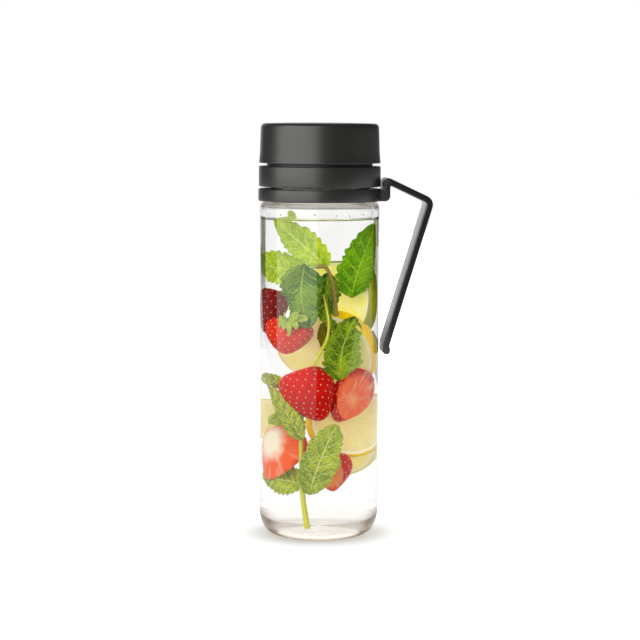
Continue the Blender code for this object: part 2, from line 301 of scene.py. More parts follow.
def blended(material, share, first, second):
    """Mixes two colours; either may be a colour or another node's output."""
    node = add(material, "ShaderNodeMix", data_type="RGBA")
    wire(material, (share, node.inputs["Factor"]))
    for socket, colour in ((node.inputs[6], first), (node.inputs[7], second)):
        if isinstance(colour, tuple):
            socket.default_value = (*colour, 1.0)
        else:
            wire(material, (colour, socket))
    return node.outputs[2]


def direction(material, vector):
    """The way a vector points, at a length of one."""
    node = add(material, "ShaderNodeVectorMath", operation="NORMALIZE")
    wire(material, (vector, node.inputs[0]))
    return node.outputs["Vector"]


def see_through(name, refraction, tint, waves, strength, distance):
    """Clear glass or water with slight waves; light from a lamp also passes it straight."""
    clear, shader = principled(
        name, (1.0, 1.0, 1.0), 0.0, IOR=refraction, Transmission_Weight=1.0
    )
    bumped(clear, shader, object_noise(clear, waves, detail=1.0), strength, distance)
    lamp_ray = add(clear, "ShaderNodeLightPath").outputs["Is Shadow Ray"]
    overlaid(clear, lamp_ray, add(clear, "ShaderNodeBsdfTransparent", color=(*tint, 1.0)))
    return clear, shader


glass_section = list(BASE_RING)
for step in range(25):
    angle = math.radians(90 * step / 24)
    heel_radius = BODY_RADIUS - HEEL_INSET * (1 - math.sin(angle))
    glass_section.append((heel_radius, HEEL_RISE * (1 - math.cos(angle))))
glass_section += arc(
    (BODY_RADIUS - SHOULDER_RADIUS, SHOULDER_HEIGHT - SHOULDER_RADIUS), SHOULDER_RADIUS, 0, 90, 10
)
glass_section += arc((NECK_RADIUS + 1.0, SHOULDER_HEIGHT + 1.0), 1.0, -90, -180, 5)
glass_section += arc((NECK_RADIUS - LIP, NECK_TOP - LIP), LIP, 0, 90, 6)
glass_section += arc((NECK_BORE + LIP, NECK_TOP - LIP), LIP, 90, 180, 6)
for step in range(21):
    share = step / 20
    swell = (BODY_BORE - NECK_BORE) * (1 - math.cos(math.pi * share)) / 2
    drop = (INNER_SHOULDER_BOTTOM - INNER_SHOULDER_TOP) * share
    glass_section.append((NECK_BORE + swell, INNER_SHOULDER_TOP + drop))
floor_corner = (BODY_BORE - FLOOR_FILLET, FLOOR_HEIGHT + FLOOR_FILLET)
glass_section += arc(floor_corner, FLOOR_FILLET, 0, -90, 16)
glass_section += [FLOOR_BEND, (0.0, FLOOR_HEIGHT + FLOOR_CROWN)]
bottle = turned("glass_body", glass_section)
neck_starts = threads("neck_thread_start", NECK_RADIUS, reach=1.2, low=193.6)
neck_thread = joined("neck_thread", neck_starts)

glass, glass_shader = see_through("clear_soda_glass", 1.5, (0.98, 0.985, 0.98), 26.0, 0.12, 0.0004)
glass_x, glass_y, glass_z = object_axes(glass)
across = calculated(glass, "POWER", glass_x, 2.0)
across = calculated(glass, "MULTIPLY_ADD", glass_y, glass_y, across)


def at_height(low, high):
    """A ramp between two heights on the glass."""
    return ramped(glass, glass_z, low * MM, high * MM)


def outside(radius):
    """One on the glass that lies further from the axis than a radius."""
    return calculated(glass, "GREATER_THAN", across, (radius * MM) ** 2)


outer_skin = outside(WALL_MIDDLE)
# Where the wall is seen nearly edge on, from the middle up to the water line, it is painted dark
# green, lighter on the right: painted shade along the edges of the filled glass.
facing = add(glass, "ShaderNodeLayerWeight").outputs["Facing"]
painted_edge_shade = times(glass, ramped(glass, facing, 0.54, 0.60), ramped(glass, facing, 0.95, 0.84))
upper = times(glass, at_height(118.0, 150.0), at_height(WATER_LEVEL + 2.5, WATER_LEVEL + 0.5))
painted_edge_shade = times(glass, painted_edge_shade, upper, outer_skin)
right_side = calculated(glass, "GREATER_THAN", glass_x, 0.0)
painted_edge_shade_colour = blended(glass, right_side, (0.066, 0.074, 0.033), (0.15, 0.15, 0.06))
tinted = blended(glass, at_height(17.0, 6.0), (0.988, 0.983, 0.978), HEEL_TINT)
tinted = blended(glass, painted_edge_shade, tinted, painted_edge_shade_colour)
# The thick heel is painted brown at both sides, in a crescent that rises a little towards the
# outline: painted shade where the heel is seen edge on.
radial = add(glass, "ShaderNodeCombineXYZ")
wire(glass, (glass_x, radial.inputs["X"]), (glass_y, radial.inputs["Y"]))
sideways = add(glass, "ShaderNodeLayerWeight")
wire(glass, (direction(glass, radial.outputs[0]), sideways.inputs["Normal"]))
outline = sideways.outputs["Facing"]
raised = calculated(glass, "MULTIPLY_ADD", outline, -0.0042, glass_z)
painted_heel_shade = times(
    glass,
    ramped(glass, outline, 0.2, 0.5),
    ramped(glass, raised, 0.0096, 0.0086),
    at_height(2.0, 6.0),
)
tinted = blended(glass, painted_heel_shade, tinted, (0.25, 0.16, 0.08))
wire(glass, (tinted, glass_shader.inputs["Base Color"]))
# Where water wets the glass, the two reflect almost nothing between them.
dry = calculated(glass, "MAXIMUM", at_height(WATER_LEVEL, WATER_LEVEL + 1.5), outer_skin)
wire(glass, (dry, glass_shader.inputs["Specular Tint"]))
# The foot of the heel and the shoulder, where light would only run round inside the glass, let it
# straight through as well. Near the foot's outline, seen edge on, that light is tinted brown:
# painted shade along the bottom edge.
foot = times(glass, at_height(6.5, 3.5), FOOT_CLEARNESS)
crown = times(glass, at_height(181.0, 184.0), CROWN_CLEARNESS, at_height(199.0, 197.0))
painted_foot_shade = times(
    glass, ramped(glass, facing, 0.5, 0.8), outside(PAINTED_FOOT_SHADE_RADIUS), at_height(12.0, 8.0)
)
through = blended(glass, painted_foot_shade, (0.985, 0.965, 0.94), (0.5, 0.38, 0.27))
straight = add(glass, "ShaderNodeBsdfTransparent")
wire(glass, (through, straight.inputs["Color"]))
overlaid(glass, calculated(glass, "MAXIMUM", foot, crown), straight)
for piece in (bottle, neck_thread):
    piece.data.materials.append(glass)
    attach(piece, "bottle")
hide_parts("glass_bottle")

# Water. It fills the bottle to just under the shoulder and stands still. It wets the glass, so its
# edge climbs the wall a little and shows as a thin line.
WETTED = 0.06
WATER_EDGE = ((-WETTED, 1.6), (0.1, 1.6), (0.35, 0.75), (0.9, 0.3), (2.0, 0.06), (4.0, 0.0))

water_section = [(0.0, FLOOR_HEIGHT + FLOOR_CROWN - WETTED)]
water_section += [(FLOOR_BEND[0], FLOOR_BEND[1] - WETTED)]
water_section += arc(floor_corner, FLOOR_FILLET + WETTED, -90, 0, 16)
water_section += [(BODY_BORE - inset, WATER_LEVEL + rise) for inset, rise in WATER_EDGE]
water_section += [(0.0, WATER_LEVEL)]
water = turned("water_fill", water_section)
water_clear, water_shader = see_through(
    "still_water", 1.333, (0.99, 0.995, 0.99), 60.0, 0.05, 0.0003
)
_, _, water_z = object_axes(water_clear)
open_top = ramped(water_clear, water_z, (WATER_LEVEL - 1) * MM, WATER_LEVEL * MM)
wire(water_clear, (open_top, water_shader.inputs["Specular Tint"]))
water.data.materials.append(water_clear)
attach(water, "bottle")

# Mint leaves. Sprigs of mint float in the water. Each leaf is a thin serrated blade, quilted
# between its side veins, with a pale midrib, bent along its midrib and pressed inside the glass
# where it would pass through it.
LEAF_THICKNESS = 0.22
LEAF_VEINS = 7.0
LEAF_CUP = 0.12
LEAF_QUILT = 0.9
VEIN_SLANT = -1.3


def corners_of(piece):
    """Where a piece's vertices lie, as rows of an array."""
    return np.array([vert.co for vert in piece.data.vertices])


def kept_in_bottle(piece, room=0.25):
    """Presses whatever would pass through the wall or the floor against the inside of the glass."""
    inside = corners_of(piece) / MM
    reach = np.hypot(inside[:, 0], inside[:, 1])
    low = np.clip((FLOOR_HEIGHT + FLOOR_FILLET - inside[:, 2]) / FLOOR_FILLET, 0, 1)
    limit = BODY_BORE - room - FLOOR_FILLET * (1 - np.sqrt(1 - low**2))
    pressed = np.minimum(1.0, limit / np.maximum(reach, 0.001))
    inside[:, :2] *= pressed[:, None]
    inside[:, 2] = np.maximum(inside[:, 2], FLOOR_HEIGHT + FLOOR_CROWN + 0.1)
    piece.data.vertices.foreach_set("co", (inside * MM).ravel())
    piece.data.update()
    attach(piece, "bottle")


def blade(name, base, bend, tip, half_width, face, teeth=9, quilt=LEAF_QUILT, crumple=1.0):
    """A leaf along a bent midrib; face is the way its upper side looks."""
    bpy.ops.mesh.primitive_grid_add(x_subdivisions=teeth * 13, y_subdivisions=44, size=1.0)
    leaf = named(name)
    base, bend, tip, face = Vector(base), Vector(bend), Vector(tip), Vector(face).normalized()
    phase = sum(map(ord, name)) % 17

    def uneven(along, across, shift=0):
        return noise.noise(Vector((along, across, phase + shift)))

    relief_shade = []
    for vert in leaf.data.vertices:
        along = vert.co.x + 0.5
        across = vert.co.y * 2.0
        side = abs(across)
        here = base * (1 - along) ** 2 + bend * 2 * along * (1 - along) + tip * along**2
        tangent = (bend - base) * (1 - along) + (tip - bend) * along
        tangent.normalize()
        up = (face - tangent * face.dot(tangent)).normalized()
        out = tangent.cross(up)
        # The outline swells and narrows, and its rim is cut into teeth that lean to the tip.
        drift = uneven(along * 5, math.copysign(3.0, across))
        width = half_width * along**0.5 * (1 - along) ** 0.6 / 0.468
        width *= 1 + 0.12 * crumple * drift
        width *= 1 + 0.5 * (crumple - 1) * uneven(along * 2.3, math.copysign(7.0, across))
        rim = max(0.0, (side - 0.72) / 0.28) ** 2
        saw = (along * teeth + 0.4 * drift + 0.5 * (across > 0)) % 1.0
        tooth = math.sin(math.pi * min(1.0, saw / 0.78) / 2) if saw < 0.78 else (1 - saw) / 0.22
        width *= 1 + 0.16 * rim * (tooth - 0.6)
        # It puffs up between the side veins, sinks at the midrib, cups and folds.
        wander = uneven(along * 9, across * 4, 5)
        rib = along * LEAF_VEINS + VEIN_SLANT * side + 0.25 * wander
        puff = abs(math.sin(math.pi * rib)) ** 0.6 * (0.55 + 0.6 * wander)
        fine = uneven(along * 34, across * 13, 9)
        height = quilt * (puff + 0.25 * fine) * (1 - side**4) * min(1, along * 6)
        height -= 0.45 * math.exp(-((across / 0.06) ** 2)) * (1 - along)
        height += LEAF_CUP * half_width * side**2
        fold = uneven(along * 2.6, across * 1.4, 2)
        height += 0.24 * crumple * half_width * fold * (0.4 + side)
        # The blade's relief is kept for its skin, which paints light and shade by it.
        relief_shade.append(0.55 * puff + 0.9 * fine + 0.5 * crumple * fold)
        lean = tangent * (0.1 * half_width * side)
        vert.co = (here + out * (across * width) + up * height + lean) * MM
    leaf.data.attributes.new("relief_shade", "FLOAT", "POINT").data.foreach_set("value", relief_shade)
    edit_all()
    bpy.ops.mesh.remove_doubles(threshold=0.005 * MM)
    bpy.ops.object.mode_set(mode="OBJECT")
    applied(leaf, "thickness", "SOLIDIFY", thickness=LEAF_THICKNESS * MM, offset=0.0)
    bpy.ops.object.shade_smooth()
    return leaf


def leaf_skin(name, dark, light, vein):
    """Leaf green with paler veins that follow the blade's own map, and puffed cells between."""
    skin, shader = principled(
        name, dark, 0.38, Specular_IOR_Level=0.06, Subsurface_Weight=0.1, Subsurface_Scale=0.001,
        Subsurface_Radius=(0.6, 1.0, 0.1),
    )
    place = add(skin, "ShaderNodeTexCoord")
    blade_map = add(skin, "ShaderNodeSeparateXYZ")
    cells = add(skin, "ShaderNodeTexVoronoi", feature="DISTANCE_TO_EDGE", scale=700.0)
    wire(
        skin,
        (place.outputs["UV"], blade_map.inputs[0]),
        (place.outputs["Object"], cells.inputs["Vector"]),
    )
    side = calculated(skin, "MULTIPLY_ADD", blade_map.outputs["Y"], 2.0, -1.0)
    side = calculated(skin, "ABSOLUTE", side)
    wobble = object_noise(skin, 260.0, detail=3.0)
    rib = times(skin, blade_map.outputs["X"], LEAF_VEINS)
    rib = calculated(skin, "MULTIPLY_ADD", side, VEIN_SLANT, rib)
    rib = calculated(skin, "MULTIPLY_ADD", wobble, 0.5, rib)
    rib = calculated(skin, "PINGPONG", rib, 0.5)
    rib_line = times(skin, ramped(skin, rib, 0.075, 0.01), ramped(skin, side, 1.0, 0.55))
    lines = calculated(skin, "MAXIMUM", rib_line, ramped(skin, side, 0.06, 0.02))
    net = times(skin, ramped(skin, cells.outputs["Distance"], 0.09, 0.0), 0.5)
    lines = calculated(skin, "MAXIMUM", lines, net)
    patches = times(skin, object_noise(skin, 300.0, detail=5.0, roughness=0.75), 0.5)
    patches = calculated(skin, "ADD", patches, times(skin, object_noise(skin, 75.0), 0.5))
    # Raised puffs and folds of the blade are painted lighter and its hollows darker: painted light
    # and shade from the blade's relief.
    relief_shade = add(skin, "ShaderNodeAttribute", attribute_name="relief_shade")
    patches = calculated(skin, "MULTIPLY_ADD", relief_shade.outputs["Fac"], 0.45, patches)
    green = blended(skin, ramped(skin, patches, 0.4, 0.78), dark, light)
    # Beside each side vein the green is painted darker: painted shade in the sunken hollows along
    # the veins.
    green = blended(skin, times(skin, ramped(skin, rib, 0.22, 0.05), 0.35), green, dark)
    green = blended(skin, times(skin, lines, 0.8), green, vein)
    wire(skin, (green, shader.inputs["Base Color"]))
    puffed = calculated(skin, "MINIMUM", cells.outputs["Distance"], 0.3)
    puffed = calculated(skin, "MULTIPLY_ADD", lines, -0.2, puffed)
    puffed = calculated(skin, "MULTIPLY_ADD", wobble, 0.12, puffed)
    bumped(skin, shader, puffed, 0.7, 0.001)
    return skin


# The sunlit and shaded greens are one leaf green painted lighter and darker for how light falls on
# those leaves: painted light and shade.
deep = leaf_skin("deep_mint", (0.07, 0.26, 0.0), (0.22, 0.5, 0.0), (0.5, 0.72, 0.03))
mid = leaf_skin("mid_mint", (0.17, 0.29, 0.006), (0.52, 0.61, 0.025), (0.87, 0.9, 0.3))
lit = leaf_skin("sunlit_mint", (0.36, 0.62, 0.0), (0.7, 0.9, 0.02), (0.95, 1.0, 0.3))
shaded_leaf = leaf_skin("shaded_mint", (0.035, 0.14, 0.004), (0.2, 0.36, 0.01), (0.46, 0.6, 0.11))
olive = leaf_skin("olive_mint", (0.05, 0.15, 0.0), (0.32, 0.5, 0.005), (0.62, 0.72, 0.08))
brown = leaf_skin("bruised_mint", (0.1, 0.1, 0.0), (0.24, 0.22, 0.0), (0.4, 0.36, 0.03))

# Each row: the place's name, base, bend and tip of the midrib, half width, facing and skin.
mint_leaves = [
    ("top_left", (2.5, -5, 150), (-8, -8, 165), (-24, -13, 176), 8.4, (0.25, -1, 0.3), lit),
    ("top_right", (14, -10, 133.5), (15.5, -9, 149), (26.5, -9.5, 173), 9.8, (-0.2, -1, 0.1), deep),
    ("dry_tip", (-15, -13, 175.6), (-16, -13, 178.6), (-17.4, -13, 181.4), 2.2, (0, -1, 0.2), lit),
    ("left", (-4, 2, 144), (-15, 1, 151), (-30.5, -1, 151), 9.6, (0.1, -1, 0.3), lit),
    ("front", (-9, -20, 153), (-13, -19.5, 136), (-7, -20.5, 119), 10.4, (-0.35, -1, 0.1), shaded_leaf),
    ("middle", (3, -8, 148), (1.4, -9.5, 134), (5, -10.5, 116), 6.2, (0.2, -1, 0.2), olive),
    ("olive", (1.5, -12, 121), (1.5, -13, 113), (2, -12, 105), 3.6, (-0.6, -1, 0), brown),
    ("hanging", (8.5, -13, 88), (7.5, -17, 104), (15.5, -13, 122.5), 9.6, (0.25, -1, 0), olive),
    ("small_left", (-14, 0, 84), (-22, -1, 88), (-28.8, -1.5, 87), 4.2, (0, -1, 0.5), mid),
    ("lower_left", (-9.8, -20, 56), (-17, -21, 69), (-27.2, -10, 84), 7.6, (0.3, -1, 0.25), mid),
    ("lower_small", (-18, -16, 66), (-23, -14, 68), (-26, -10, 64), 4.0, (0, -1, -0.3), mid),
    ("lower_right", (-6, -18, 25), (-3, -22, 44), (6.8, -20.5, 63.5), 9.6, (0.1, -1, 0), mid),
    ("bottom_left", (-7, -9, 29), (-17, -8, 33), (-29, -5, 32), 9.0, (0.1, -1, 0.6), mid),
]
creased = {"front": 2.2, "middle": 1.8, "hanging": 1.6}
for place, base, bend, tip, half_width, face, skin in mint_leaves:
    crumple = creased.get(place, 1.0)
    quilt = LEAF_QUILT * crumple**0.5
    leaf = blade("leaf_" + place, base, bend, tip, half_width, face, quilt=quilt, crumple=crumple)
    leaf.data.materials.append(skin)
    kept_in_bottle(leaf)

# Mint stems. Green stems, round in section, carry the leaves. The lowest one stands on the glass
# floor, and the top one has browned where it was cut.


def stalk(name, skin, points, radii):
    """A tapered stem drawn as a smooth curve through its points and turned into a mesh."""
    bpy.ops.curve.primitive_nurbs_path_add()
    stem = bpy.context.object
    stem.name = name
    line = stem.data
    line.splines.clear()
    spline = line.splines.new("NURBS")
    spline.points.add(len(points) - 1)
    for knot, point, radius in zip(spline.points, points, radii):
        knot.co = (point[0] * MM, point[1] * MM, point[2] * MM, 1.0)
        knot.radius = radius
    spline.use_endpoint_u = True
    spline.order_u = 3
    line.resolution_u = 10
    line.bevel_depth = MM
    line.bevel_resolution = 5
    line.use_fill_caps = True
    bpy.ops.object.convert(target="MESH")
    stem = bpy.context.object
    stem.data.materials.append(skin)
    smoothed(50)
    kept_in_bottle(stem)


def stem_skin(name, dark, light):
    """Long fibres along the stem and a few darker specks."""
    skin, shader = principled(
        name, dark, 0.4, Specular_IOR_Level=0.2, Subsurface_Weight=0.2, Subsurface_Scale=0.001
    )
    stretch = add(skin, "ShaderNodeMapping", scale=(900.0, 900.0, 70.0))
    grain = add(skin, "ShaderNodeTexNoise", scale=1.0)
    wire(
        skin,
        (object_place(skin), stretch.inputs["Vector"]),
        (stretch.outputs["Vector"], grain.inputs["Vector"]),
        (blended(skin, grain.outputs["Fac"], dark, light), shader.inputs["Base Color"]),
    )
    bumped(skin, shader, grain.outputs["Fac"], 0.3, 0.0002)
    return skin


green_stem = stem_skin("green_stem", (0.45, 0.47, 0.02), (0.8, 0.78, 0.1))
brown_stem = stem_skin("browned_stem", (0.2, 0.14, 0.03), (0.42, 0.32, 0.08))
stalk(
    "stem_top",
    brown_stem,
    [
        (-3.5, -16, 150.5), (-1, -16.5, 152), (2, -16.5, 151), (4.5, -15.5, 145), (6.2, -14, 134),
        (6.8, -13, 124),
    ],
    [0.7, 1.1, 0.95, 0.85, 0.95, 1.0],
)
stalk(
    "stem_middle",
    green_stem,
    [
        (0.2, -21.5, 136), (1.8, -22.3, 128), (3, -22.5, 121), (2.6, -22.3, 113),
        (-0.5, -21, 105.5), (-4.5, -18.5, 97),
    ],
    [0.45, 0.55, 0.65, 0.75, 0.85, 0.9],
)
stalk(
    "stem_lower",
    green_stem,
    [(-10.6, -18, 66), (-10.3, -18, 50), (-9.8, -17.8, 30), (-8.6, -17.4, 17), (-6.8, -17, 6.6)],
    [0.9, 1.05, 1.25, 1.45, 1.5],
)
stalk(
    "stem_node",
    green_stem,
    [(-10.5, -18.2, 62), (-10.4, -18.4, 59), (-10.3, -18.2, 56)],
    [0.9, 1.5, 1.0],
)

# Strawberries. Whole and halved ones hang between the sprigs. The skin is glossy red with a pale
# seed in each small pit, and the cut faces show a paler heart with fibres running to the skin.
GOLDEN_ANGLE = math.radians(137.508)
PIT_REACH = 2.2
SEED_HALF_SIZES = (0.6, 0.38, 0.25)
SEED_SUNK = 0.30


def pip_places(count):
    """Seeds sit on a spiral from the shoulder to the tip, a golden angle apart."""
    places = []
    for index in range(count):
        height = 1 - 2 * (index + 0.7) / count
        turn = index * GOLDEN_ANGLE
        ring = math.sqrt(1 - height * height)
        places.append((ring * math.cos(turn), ring * math.sin(turn), height))
    return np.array(places)


def berry_form(unit):
    """Makes a strawberry of a unit sphere's points: broad shoulder, hollow top, round tip."""
    height = unit[:, 2]
    ring = np.sqrt(np.clip(1 - height**2, 0, 1))
    wide = 0.80 + 0.26 * height - 0.06 * height**2
    lifted = height - 0.22 * np.exp(-((ring / 0.32) ** 2)) * (height > 0)
    turn = np.arctan2(unit[:, 1], unit[:, 0])
    lobes = 1 + 0.025 * np.sin(3 * turn + 2 * height) + 0.015 * np.sin(5 * turn)
    return np.stack([unit[:, 0] * wide * lobes, unit[:, 1] * wide * lobes, lifted], axis=1)


def repeated(piece, copies, skin):
    """Puts many copies in place of a small form; each copy lists where its corners go."""
    count = len(piece.data.vertices)
    sides = [tuple(face.vertices) for face in piece.data.polygons]
    all_sides = [
        tuple(start * count + corner for corner in side)
        for start in range(len(copies))
        for side in sides
    ]
    piece.data.clear_geometry()
    piece.data.from_pydata((np.concatenate(copies) * MM).tolist(), [], all_sides)
    piece.data.materials.append(skin)
    bpy.ops.object.shade_smooth()


def berry(name, middle, top, length, width, skin, seed_skin, pips=115, cut=None, flesh=None):
    """A strawberry about its middle, its shoulder towards top; cut is the side that is gone."""
    turn = Vector((0, 0, 1)).rotation_difference(Vector(top)).to_matrix()
    shape = np.array(turn) @ np.diag([width / 2, width / 2, length / 2])
    middle = np.array(middle, float)
    bpy.ops.mesh.primitive_uv_sphere_add(segments=112, ring_count=76, radius=1.0)
    body = named(name)
    grown = berry_form(corners_of(body)) @ shape.T
    seeds = berry_form(pip_places(pips)) @ shape.T
    for seed in seeds:
        away = np.linalg.norm(grown - seed, axis=1)
        near = away < PIT_REACH
        pull = 0.5 * np.exp(-((away[near] / 0.8) ** 2))
        grown[near] *= (1 - pull / np.linalg.norm(grown[near], axis=1))[:, None]
    body.data.vertices.foreach_set("co", ((grown + middle) * MM).ravel())
    body.data.update()
    body.data.materials.append(skin)
    bpy.ops.object.shade_smooth()
    if cut is not None:
        normal = Vector(cut).normalized()
        edit_all()
        bpy.ops.mesh.bisect(
            plane_co=Vector(middle * MM), plane_no=normal, use_fill=True, clear_outer=True
        )
        bpy.ops.object.mode_set(mode="OBJECT")
        body.data.materials.append(flesh)
        for face in body.data.polygons:
            if len(face.vertices) > 4:
                face.material_index = 1
                face.use_smooth = False
        seeds = seeds[seeds @ np.array(normal) < -0.3]
    kept_in_bottle(body)

    bpy.ops.mesh.primitive_ico_sphere_add(subdivisions=1, radius=1.0)
    pip = named(name + "_seeds")
    corners = corners_of(pip)
    down = -np.array(Vector(top).normalized())
    copies = []
    for seed in seeds:
        outward = seed / np.linalg.norm(seed)
        long = down - outward * (down @ outward)
        long /= max(np.linalg.norm(long), 1e-6)
        ways = (long, np.cross(outward, long), outward)
        grain = sum(
            corners[:, axis : axis + 1] * ways[axis] * SEED_HALF_SIZES[axis] for axis in range(3)
        )
        copies.append(seed * (1 - SEED_SUNK / np.linalg.norm(seed)) + grain + middle)
    repeated(pip, copies, seed_skin)
    kept_in_bottle(pip, 0.15)


def berry_skin(name, deep, bright):
    """Red skin, a little uneven in colour, with a soft gloss under water."""
    skin, shader = principled(
        name, bright, 0.3, Specular_IOR_Level=0.04, Subsurface_Weight=0.15,
        Subsurface_Scale=0.0015, Subsurface_Radius=(1.0, 0.2, 0.05),
    )
    reds = blended(skin, object_noise(skin, 140.0, detail=3.0), deep, bright)
    wire(skin, (reds, shader.inputs["Base Color"]))
    bumped(skin, shader, object_noise(skin, 1500.0), 0.15, 0.0002)
    return skin


def own_frame(material, middle, top, half_sizes):
    """Coordinates about a fruit's own middle and axis, with its half sizes as one.

    Gives the coordinates and their distance from the middle."""
    frame_of = add(
        material, "ShaderNodeMapping", vector_type="TEXTURE", location=Vector(middle) * MM,
        rotation=Vector((0, 0, 1)).rotation_difference(Vector(top)).to_euler(),
        scale=[value * MM for value in half_sizes],
    )
    reach = add(material, "ShaderNodeVectorMath", operation="LENGTH")
    wire(
        material,
        (object_place(material), frame_of.inputs["Vector"]),
        (frame_of.outputs["Vector"], reach.inputs[0]),
    )
    return frame_of.outputs["Vector"], reach.outputs["Value"]


def berry_flesh(name, middle, top, length, width, edge, inner, heart, heart_reach=0.18):
    """A cut face: pale heart, then orange-red with fibres that run out to a red edge."""
    flesh, shader = principled(
        name, inner, 0.35, Specular_IOR_Level=0.04, Subsurface_Weight=0.2, Subsurface_Scale=0.002
    )
    about, reach = own_frame(flesh, middle, top, (width / 2, width / 2, length / 2))
    wavy_reach = calculated(flesh, "MULTIPLY_ADD", object_noise(flesh, 220.0), 0.22, reach)
    rings = add(flesh, "ShaderNodeValToRGB")
    stops = rings.color_ramp.elements
    stops[0].position, stops[0].color = heart_reach, (*heart, 1.0)
    stops[1].position, stops[1].color = 0.93, (*edge, 1.0)
    stops.new(heart_reach + 0.24).color = (*inner, 1.0)
    stops.new(0.8).color = (*inner, 1.0)
    fibres = add(flesh, "ShaderNodeTexNoise", scale=4.5, detail=3.0)
    pale = add(flesh, "ShaderNodeMapRange", from_min=0.52, from_max=0.7, to_max=0.45)
    wire(
        flesh,
        (wavy_reach, rings.inputs[0]),
        (direction(flesh, about), fibres.inputs["Vector"]),
        (fibres.outputs["Fac"], pale.inputs["Value"]),
    )
    streaked = blended(flesh, pale.outputs["Result"], rings.outputs["Color"], (0.9, 0.6, 0.4))
    wire(flesh, (streaked, shader.inputs["Base Color"]))
    bumped(flesh, shader, fibres.outputs["Fac"], 0.4, 0.0004)
    return flesh


red_skin = berry_skin("strawberry_skin", (0.5, 0.001, 0.0), (0.8, 0.006, 0.001))
dark_skin = berry_skin("ripe_strawberry_skin", (0.13, 0.0, 0.0), (0.3, 0.001, 0.0))
orange_skin = berry_skin("light_strawberry_skin", (0.6, 0.006, 0.001), (0.85, 0.03, 0.004))
pale_seed, pale_seed_shader = principled(
    "strawberry_seed", (0.95, 0.62, 0.25), 0.45, Specular_IOR_Level=0.2
)
bumped(pale_seed, pale_seed_shader, object_noise(pale_seed, 900.0), 0.2, 0.0002)
dark_seed, _ = principled("ripe_strawberry_seed", (0.8, 0.42, 0.2), 0.45, Specular_IOR_Level=0.2)

berry(
    "strawberry_whole", (-5.6, -13, 80.8), (-0.42, 0.1, 1), 32, 32, red_skin, pale_seed, pips=160
)
berry("strawberry_dark", (-21, 3, 126), (0.2, 0, 1), 27, 19, dark_skin, dark_seed, pips=90)
berry(
    "strawberry_calyx", (-15.8, -9.5, 112.8), (0.12, 0, 1), 21, 29, orange_skin, pale_seed, pips=105
)
right_flesh = berry_flesh(
    "cut_berry_right", (13, -9, 76), (0.6, 0, 1), 42, 30,
    edge=(0.6, 0.01, 0.003), inner=(0.92, 0.14, 0.03), heart=(0.92, 0.36, 0.14),
)
berry(
    "strawberry_half_right", (15.2, -9.5, 79.3), (0.6, 0, 1), 33, 27, red_skin, pale_seed,
    cut=(0.85, -1, 0), flesh=right_flesh,
)
left_flesh = berry_flesh(
    "cut_berry_left", (-24, -8, 53), (0.35, 0, 1), 62, 42,
    edge=(0.62, 0.02, 0.005), inner=(0.92, 0.12, 0.015), heart=(0.97, 0.88, 0.7), heart_reach=0.3,
)
berry(
    "strawberry_half_left", (-19.5, -8, 47), (0.5, 0, 1), 34, 27, red_skin, pale_seed,
    cut=(-0.35, -1, 0.1), flesh=left_flesh,
)
low_flesh = berry_flesh(
    "cut_berry_low", (4, -9, 38), (0.15, 0, 1), 30, 22,
    edge=(0.75, 0.05, 0.01), inner=(0.97, 0.28, 0.06), heart=(0.97, 0.6, 0.3),
)
berry(
    "strawberry_wedge_low", (4.3, -8, 36.4), (0.15, 0, 1), 26, 23, red_skin, pale_seed, pips=90,
    cut=(-1, -0.95, -0.3), flesh=low_flesh,
)

sepal_skin = leaf_skin("sepal", (0.3, 0.44, 0.03), (0.5, 0.62, 0.08), (0.7, 0.78, 0.2))
sepal_root = Vector((-18, -17.5, 122))
sepal_tips = ((-12, -5), (-7, -7), (-1, -11), (4, -6), (10, 1), (-5, 4), (5, 5))
for index, (reach, drop) in enumerate(sepal_tips):
    bend = sepal_root + Vector((reach * 0.6, -6, 1.5))
    tip = sepal_root + Vector((reach, -8, drop * 0.8))
    sepal = blade(
        f"sepal_{index}", sepal_root, bend, tip, 2.4, (0, -1, 0.4), teeth=3, quilt=0.1
    )
    sepal.data.materials.append(sepal_skin)
    kept_in_bottle(sepal)

# Lemon slices. Thin rounds cut across a lemon: yellow rind, a ring of white pith, and pale juicy
# segments parted by thin skins. They lie between the sprigs and let some light through.
# Flesh, pith and rind also glow a little: painted light for the light that comes through them.
PITH_DEPTH = 1.5
RIM_EASE = 0.4
SEGMENTS = 9.0
JUICE_SAC = (0.95, 0.86, 0.4)
SEGMENT_SKIN = (0.96, 0.9, 0.6)
PITH_WHITE = (0.98, 0.94, 0.62)


def lemon(name, middle, normal, radius, thickness, peel_depth, skins):
    """A slice from a flat cylinder: its faces are inset for the rind and again for the pith."""
    bpy.ops.mesh.primitive_cylinder_add(
        vertices=96, radius=radius * MM, depth=thickness * MM, end_fill_type="NGON"
    )
    round_ = named(name)
    for skin in skins:
        round_.data.materials.append(skin)
    bpy.ops.object.mode_set(mode="EDIT")
    bpy.ops.mesh.select_mode(type="FACE")
    bpy.ops.mesh.select_all(action="DESELECT")
    bpy.ops.object.mode_set(mode="OBJECT")
    for face in round_.data.polygons:
        face.select = abs(face.normal.z) > 0.9
    bpy.ops.object.mode_set(mode="EDIT")
    for slot, depth in ((1, peel_depth), (2, PITH_DEPTH)):
        bpy.ops.mesh.inset(thickness=depth * MM)
        round_.active_material_index = slot
        bpy.ops.object.material_slot_assign()
    bpy.ops.object.mode_set(mode="OBJECT")
    applied(
        round_, "eased_rim", "BEVEL", width=RIM_EASE * MM, segments=3, limit_method="ANGLE"
    )
    turn = Vector((0, 0, 1)).rotation_difference(Vector(normal)).to_matrix().to_4x4()
    round_.data.transform(Matrix.Translation(Vector(middle) * MM) @ turn)
    smoothed(40)
    kept_in_bottle(round_)


